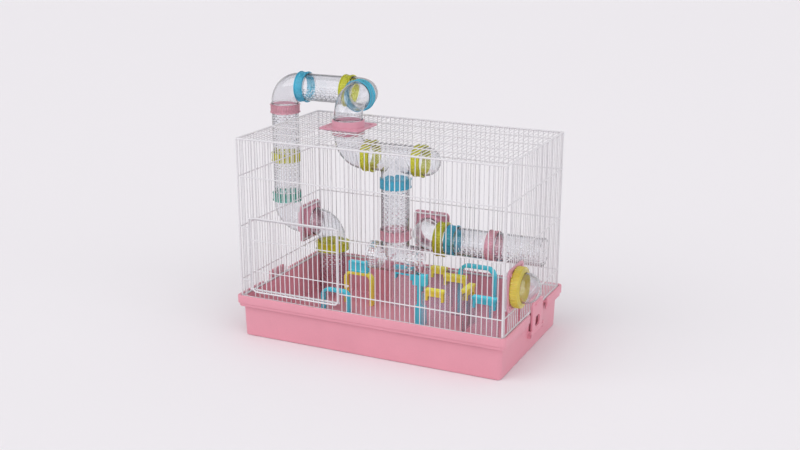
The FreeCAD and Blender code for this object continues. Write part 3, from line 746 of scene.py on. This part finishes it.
class CAGE_OT_rings(Step, bpy.types.Operator):
    """Model a tube ring of each size with two beads and grip ribs, and copy it to its joints"""
    bl_idname = "cage.rings"
    bl_label = "Tube Rings"

    def execute(self, context):
        masters = {}
        for name in RINGS:
            a, b, axis, radius = long_axis(name)
            kind = round(radius / MM)
            if kind not in masters:
                masters[kind] = self.model(context.scene.cage_sizes, radius, (b - a).length / 2)
            settle(copy_to(masters[kind], (a + b) / 2, axis), name)
        for master in masters.values():
            bpy.data.objects.remove(master)
        return {"FINISHED"}

    @staticmethod
    def model(sizes, radius, half):
        """One ring about +Z, with the rib inside it that the tubes butt against."""
        socket, bore = TUBE_R + FIT, TUBE_R - sizes.tube_wall
        rib, edge = RING_STOP, sizes.edge
        low, band = radius - sizes.ring_bead, half - sizes.ring_band
        profile = [(socket, -half), (low, -half), (radius, edge - half), (radius, -band - edge),
                   (low, -band), (low, band), (radius, band + edge), (radius, half - edge), (low, half),
                   (socket, half), (socket, rib), (bore, rib), (bore, -rib), (socket, -rib)]
        master = lathe(profile, ZERO, Z, 2 * sizes.ring_ribs)
        raise_every_other(lambda c, n: abs(c.z) < band / 2 and c.xy.length > low - edge, RING_ROUND,
                          0.4 * sizes.ring_bead)
        round_edges(master, RING_ROUND, segments=2, angle=40.0)
        return master


class CAGE_OT_plates(Step, bpy.types.Operator):
    """Model the square plates that carry the tubes through the wire"""
    bl_idname = "cage.plates"
    bl_label = "Tube Plates"

    def execute(self, context):
        sizes = context.scene.cage_sizes
        socket, bore, sleeve = TUBE_R + FIT, TUBE_R - sizes.tube_wall, TUBE_R + SLEEVE_WALL
        face, thick = PLATE_STAND, sizes.plate_thick
        for name, outward in PLATES.items():
            low, high, middle, size = box_of(name)
            wall = Vector([outward[i] * HOOD[i] if outward[i] else middle[i] for i in range(3)])
            inner, outer = sorted(((low - wall).dot(outward), (high - wall).dot(outward)))
            side = max(size[i] for i in range(3) if not outward[i])
            half = side / 2
            made = stack([(side, side, face), (side, side, face + thick)], ZERO, PLATE_CORNER, segments=6)
            pick(lambda c, n: n.z > 0.9)
            bpy.ops.mesh.inset(thickness=sizes.plate_border)
            bpy.ops.mesh.inset(thickness=sizes.plate_sink, depth=-sizes.plate_sink)
            combine(made, solid_rod(-Z * half, Z * half, sleeve - MM, corners=64), "DIFFERENCE")
            web_low, web_high = max(inner, -WEB_INSIDE), min(outer, WEB_OUTSIDE)
            profile = [(sleeve, inner), (sleeve, outer)]
            if outer > web_high + MM:
                profile += [(socket, outer), (socket, web_high)]
            profile += [(bore, web_high), (bore, web_low)]
            if inner < web_low - MM:
                profile += [(socket, web_low), (socket, inner)]
            combine(made, lathe(profile, ZERO, Z, corners=64), "UNION")
            place = half - sizes.plate_border - 1.6 * sizes.peg
            for x in (-place, place):
                for y in (-place, place):
                    foot = Vector((x, y, face + MM))
                    peg = solid_rod(foot, foot + Z * (thick + PEG_EXTRA), sizes.peg, corners=20)
                    combine(made, peg, "UNION")
            round_edges(made, PLATE_ROUND, segments=2)
            settle(copy_to(made, wall, outward), name)
            bpy.data.objects.remove(made)
        return {"FINISHED"}


class CAGE_OT_nut(Step, bpy.types.Operator):
    """Model the flat yellow nut of the right-hand dome"""
    bl_idname = "cage.nut"
    bl_label = "Dome Nut"

    def execute(self, context):
        a, b, axis, radius = long_axis("right_nut")
        width, edge, socket = (b - a).length, NUT_EDGE, TUBE_R + FIT
        profile = [(socket, 0.0), (radius - edge, 0.0), (radius, edge), (radius, width - 2 * edge),
                   (radius - 2 * edge, width - edge), (socket + 2 * edge, width - edge),
                   (socket + edge, width), (socket, width)]
        made = lathe(profile, a, axis, corners=72)
        raise_every_other(lambda c, n: far_from_line(c, a, axis) > radius - 0.2 * MM
                          and n.dot(axis) ** 2 < 0.2, NUT_SLOPE, -NUT_NOTCH)
        round_edges(made, NUT_ROUND, segments=2, angle=40.0)
        settle(made, "right_nut", finish="dome_nut")
        return {"FINISHED"}


class CAGE_OT_tray(Step, bpy.types.Operator):
    """Model the tray: tapered body, rim with a border, turned-down lip, gaps and ears for the clips"""
    bl_idname = "cage.tray"
    bl_label = "Tray"

    def execute(self, context):
        sizes = context.scene.cage_sizes
        _, deep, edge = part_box("base_pan")[1]
        over = deep - HOOD.y
        long = HOOD.x + over
        wall, rim, lip = sizes.tray_wall, edge - sizes.border_high, edge - sizes.lip_high
        under, step = rim - sizes.rim_thick, lip - sizes.step_high
        foot_in = over + sizes.tray_draw
        # Inset from the outline and height of each loop, from the foot round the lip to the inner floor
        loops = [(foot_in, 0.0), (over, under), (2 * wall, under), (2 * wall, step), (wall, step),
                 (wall, lip), (0.0, lip), (0.0, edge), (sizes.border_thick, edge),
                 (sizes.border_thick, rim), (over + wall, rim), (foot_in + wall, sizes.tray_floor)]
        made = stack([(2 * (long - inset), 2 * (deep - inset), height) for inset, height in loops], ZERO,
                     sizes.tray_corner)
        for level, width in ((0.0, sizes.foot_round), (sizes.tray_floor, sizes.foot_round),
                             (edge, sizes.rim_round)):
            bevel_edges(lambda p, q: max(abs(p.z - level), abs(q.z - level)) < 0.05 * MM
                        and self.round_it(p, q), width, 5)
        for name, side in CLIPS.items():
            gap = block((2 * over, 2 * (sizes.clip_half + sizes.clip_room), 2 * (edge - step)),
                        (side * long, box_of(name)[2].y, edge))
            combine(made, gap, "DIFFERENCE")
        self.ears(made, sizes)
        round_edges(made, sizes.edge)
        settle(made, "base_pan", piece="tray")
        return {"FINISHED"}

    @staticmethod
    def round_it(p, q):
        """True for an edge along the outline, and not for one across the border's top."""
        across = abs(abs(p.x) - abs(q.x)) + abs(abs(p.y) - abs(q.y))
        return abs(p.x - q.x) > 0.1 or abs(p.y - q.y) > 0.1 or across < 4.5 * MM

    @staticmethod
    def ears(made, sizes):
        """Add the two ears at each end that hold a clip's pin."""
        for name, side in CLIPS.items():
            low, high, middle = box_of(name)[:3]
            pivot = Vector((abs(middle.x), middle.y, low.z + sizes.clip_barrel))
            wall, reach = HOOD.x - EAR_ROOT, high.y - middle.y
            depth, thick = pivot.x + sizes.clip_barrel - wall, reach - sizes.clip_half - EAR_ROOM
            for y in (pivot.y - reach + thick / 2, pivot.y + reach - thick / 2):
                ear = block((depth, thick, EAR_TALL), (side * (wall + depth / 2), y, pivot.z))
                bevel_edges(lambda p, q: min(side * p.x, side * q.x) > pivot.x and abs(p.z - q.z) < MM,
                            EAR_ROUND, 4)
                near = Vector((side * pivot.x, y - 2 * thick, pivot.z))
                hole = solid_rod(near, near + Y * 4 * thick, sizes.clip_pin + FIT, corners=24)
                combine(ear, hole, "DIFFERENCE")
                combine(made, ear, "UNION")


class CAGE_OT_clips(Step, bpy.types.Operator):
    """Model the pivoting clips at the tray's two ends"""
    bl_idname = "cage.clips"
    bl_label = "End Clips"

    def execute(self, context):
        sizes = context.scene.cage_sizes
        half, thick = sizes.clip_half, sizes.clip_thick
        for name, side in CLIPS.items():
            low, high, middle, size = box_of(name)
            x, y = middle.xy
            made = block((thick, 2 * half, size.z), middle)
            bevel_edges(lambda p, q: abs(p.x - q.x) > 0.5 * thick, sizes.clip_corner, 6)
            window = block((4 * thick, sizes.window_wide, sizes.window_high), (x, y, sizes.window_middle))
            bevel_edges(lambda p, q: abs(p.x - q.x) > thick, sizes.window_corner, 5)
            combine(made, window, "DIFFERENCE")
            bar = block((thick, half, BAR_HIGH), (x + side * thick / 2, y, high.z - BAR_DOWN))
            bevel_edges(lambda p, q: abs(p.y - q.y) > half / 2, BAR_ROUND, 4)
            combine(made, bar, "UNION")
            for reach, radius in ((half, sizes.clip_barrel), (high.y - y, sizes.clip_pin)):
                end = Vector((x, y + reach, low.z + sizes.clip_barrel))
                combine(made, solid_rod(end - Y * 2 * reach, end, radius, corners=32), "UNION")
            round_edges(made, sizes.edge)
            settle(made, name)
        return {"FINISHED"}


class CAGE_OT_caps(Step, bpy.types.Operator):
    """Model the coloured caps that sit astride the maze's panels"""
    bl_idname = "cage.caps"
    bl_label = "Maze Caps"

    def execute(self, context):
        sizes = context.scene.cage_sizes
        brim = sizes.cap_brim
        for name in CAPS:
            low, high, middle, size = box_of(name)
            along = 0 if size.x > size.y else 1
            under, ledge = low.z + sizes.cap_drop, high.z - sizes.cap_band
            width, depth = size.x - 2 * brim, size.y - 2 * brim
            made = stack([(width, depth, under), (width, depth, ledge), (size.x, size.y, ledge),
                          (size.x, size.y, high.z)], middle)
            legs = size[along] / 2 - brim - sizes.cap_leg
            for end in (-legs, legs):
                cut, square = middle.copy(), Vector()
                cut[along] += end
                square[along] = 1.0
                bpy.ops.mesh.select_all(action="SELECT")
                bpy.ops.mesh.bisect(plane_co=cut, plane_no=square)
            pick(lambda c, n: n.z < -0.9 and c.z < under + MM and abs(c[along] - middle[along]) > legs)
            push(Z * -sizes.cap_drop)
            pick(lambda c, n: n.z > 0.9 and c.z > high.z - MM)
            bpy.ops.mesh.inset(thickness=sizes.cap_border, depth=0.0)
            push(Z * -sizes.cap_sink)
            span = Vector((4, 4, 0)) * size.length
            span[1 - along] = sizes.cap_slot
            span.z = 2 * (under + sizes.cap_grip - low.z)
            combine(made, block(span, (middle.x, middle.y, low.z)), "DIFFERENCE")
            round_edges(made, sizes.edge)
            settle(made, name)
        return {"FINISHED"}


class CAGE_OT_arches(Step, bpy.types.Operator):
    """Model the maze's round-shouldered doorways"""
    bl_idname = "cage.arches"
    bl_label = "Maze Arches"

    def execute(self, context):
        sizes = context.scene.cage_sizes
        thick = sizes.arch_thick
        for name in ARCHES:
            low, high, middle, size = box_of(name)
            radius = min(size.x / 2, size.z) / 2
            made = block((thick, size.y, 1.0), (low.x + thick / 2, middle.y, low.z),
                         bpy.ops.mesh.primitive_plane_add)
            select("FACE", "SELECT")
            push(Z * (size.z - radius))
            for hub_x, run in ((low.x + radius, X * (size.x - 2 * radius)),
                               (high.x - radius, Z * (radius - size.z))):
                hub = (hub_x, middle.y, high.z - radius)
                bpy.ops.mesh.spin(steps=10, angle=math.pi / 2, center=hub, axis=-Y)
                push(run)
            outwards()
            round_edges(made, sizes.toy_round, angle=50.0)
            settle(made, name)
        return {"FINISHED"}


class CAGE_OT_blocks(Step, bpy.types.Operator):
    """Model the block on the yellow arch and the stepped post"""
    bl_idname = "cage.blocks"
    bl_label = "Maze Block and Post"

    def execute(self, context):
        sizes = context.scene.cage_sizes
        middle, size = box_of("block_blue")[2:]
        made = block(size, middle)
        sink_faces(lambda c, n: abs(n.y) > 0.9, *BLOCK_SINK)
        round_edges(made, sizes.toy_round)
        settle(made, "block_blue")

        low, high, middle, size = box_of("post_blue")
        foot, stem = POST_FOOT, POST_FOOT / 2
        leg_top, stem_top = low.z + POST_LEG, high.z - POST_HEAD
        steps = ((foot, low.z), (foot, leg_top), (stem, leg_top), (stem, stem_top), (size.x, stem_top),
                 (size.x, high.z))
        made = stack([(width, size.y, height) for width, height in steps], middle)
        round_edges(made, sizes.toy_round)
        settle(made, "post_blue")
        return {"FINISHED"}


class CAGE_OT_panels(Step, bpy.types.Operator):
    """Model the maze's clear panels, each under its cap"""
    bl_idname = "cage.panels"
    bl_label = "Maze Panels"

    def execute(self, context):
        sizes = context.scene.cage_sizes
        low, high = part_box("maze_panels")
        for number, name in enumerate(CAPS, 1):
            middle, size = box_of(name)[2:]
            thin = 1 if size.x > size.y else 0
            span = Vector((sizes.panel_wide, sizes.panel_wide, high.z - low.z))
            span[thin] = sizes.panel_thick
            made = block(span, (middle.x, middle.y, (low.z + high.z) / 2))
            sink_faces(lambda c, n: abs(n[thin]) > 0.9, *PANEL_SINK)
            round_edges(made, PANEL_ROUND, segments=2)
            settle(made, "maze_panels", finish="maze_panel", piece="panel_%d" % number)
        return {"FINISHED"}


class CAGE_OT_stage(Step, bpy.types.Operator):
    """Set the pale floor, the soft lights and the camera"""
    bl_idname = "cage.stage"
    bl_label = "Stage"

    def execute(self, context):
        scene = context.scene
        pale, dim = shade(scene.cage_colours.floor, 1.0), shade(scene.cage_colours.ceiling, 1.0)
        floor = circle(Z * -0.2 * MM, Z, FLOOR_RADIUS, corners=96, fill_type="NGON")
        leave_edit()
        floor.name = "stage_floor"
        material, tree, shader = blank("Pale_matt_floor")
        fill(tree, shader, {"Base Color": pale, "Roughness": 0.9, "Specular IOR Level": 0.1})
        floor.data.materials.append(material)

        world = bpy.data.worlds.new("Studio")
        world.use_nodes = True
        tree = world.node_tree
        tree.nodes.clear()
        path = node(tree, "LightPath", {}).outputs
        seen = node(tree, "Math", {0: path["Is Camera Ray"], 1: path["Is Glossy Ray"]}, operation="MAXIMUM")
        seen = node(tree, "Math", {0: seen, 1: path["Is Transmission Ray"]}, operation="MAXIMUM")
        light = node(tree, "Background", {"Color": (1.0, 0.99, 1.0, 1.0), "Strength": SOFT_LIGHT})
        # Pale round the horizon, as the floor is, and dim overhead
        look = node(tree, "TexCoord", {}).outputs["Generated"]
        rise = node(tree, "SeparateXYZ", {0: look}).outputs["Z"]
        overhead = node(tree, "MapRange", {"Value": rise, "From Min": 0.3, "From Max": 0.5})
        room = node(tree, "Mix", {0: overhead, 6: pale, 7: dim}, data_type="RGBA")
        back = node(tree, "Background", {"Color": room, "Strength": 1.0})
        mix = node(tree, "MixShader", {0: seen, 1: light, 2: back})
        node(tree, "OutputWorld", {"Surface": mix})
        scene.world = world

        # Broad suns light the floor evenly from end to end
        for name, azimuth, height, spread, strength in SUNS:
            lamp = bpy.data.lights.new(name, "SUN")
            lamp.angle = math.radians(spread)
            lamp.energy = strength
            holder = bpy.data.objects.new(name, lamp)
            turn, rise = math.radians(azimuth), math.radians(height)
            flat = math.cos(rise)
            shine = Vector((-math.sin(turn) * flat, math.cos(turn) * flat, -math.sin(rise)))
            holder.rotation_euler = shine.to_track_quat("-Z", "Y").to_euler()
            scene.collection.objects.link(holder)

        lens = bpy.data.cameras.new("photo_angle")
        lens.sensor_width = CAMERA_SENSOR
        lens.lens = CAMERA_LENS
        camera = bpy.data.objects.new("photo_angle", lens)
        camera.location = CAMERA_AT
        camera.rotation_euler = (CAMERA_TARGET - CAMERA_AT).to_track_quat("-Z", "Y").to_euler()
        scene.collection.objects.link(camera)
        scene.camera = camera
        scene.view_settings.view_transform = "Standard"
        return {"FINISHED"}


STEPS = (CAGE_OT_wires, CAGE_OT_tray, CAGE_OT_clips, CAGE_OT_tubes, CAGE_OT_elbows, CAGE_OT_tees,
         CAGE_OT_domes, CAGE_OT_rings, CAGE_OT_plates, CAGE_OT_nut, CAGE_OT_caps, CAGE_OT_arches,
         CAGE_OT_blocks, CAGE_OT_panels, CAGE_OT_stage)


class CAGE_PT_panel(bpy.types.Panel):
    """Shows the cage's colours, sizes and steps in the sidebar"""
    bl_label = "Gerbil Cage"
    bl_idname = "CAGE_PT_panel"
    bl_space_type = "VIEW_3D"
    bl_region_type = "UI"
    bl_category = "Cage"

    def draw(self, context):
        layout = self.layout
        for group in (context.scene.cage_colours, context.scene.cage_sizes):
            for key in group.__annotations__:
                layout.prop(group, key)
        for step in STEPS:
            layout.operator(step.bl_idname)


CLASSES = (CageColours, CageSizes, *STEPS, CAGE_PT_panel)


def register():
    for made in CLASSES:
        bpy.utils.register_class(made)
    bpy.types.Scene.cage_colours = PointerProperty(type=CageColours)
    bpy.types.Scene.cage_sizes = PointerProperty(type=CageSizes)


def unregister():
    del bpy.types.Scene.cage_sizes
    del bpy.types.Scene.cage_colours
    for made in reversed(CLASSES):
        bpy.utils.unregister_class(made)


def main():
    register()
    for step in STEPS:
        getattr(bpy.ops.cage, step.bl_idname.partition(".")[2])()


if __name__ == "__main__":
    main()
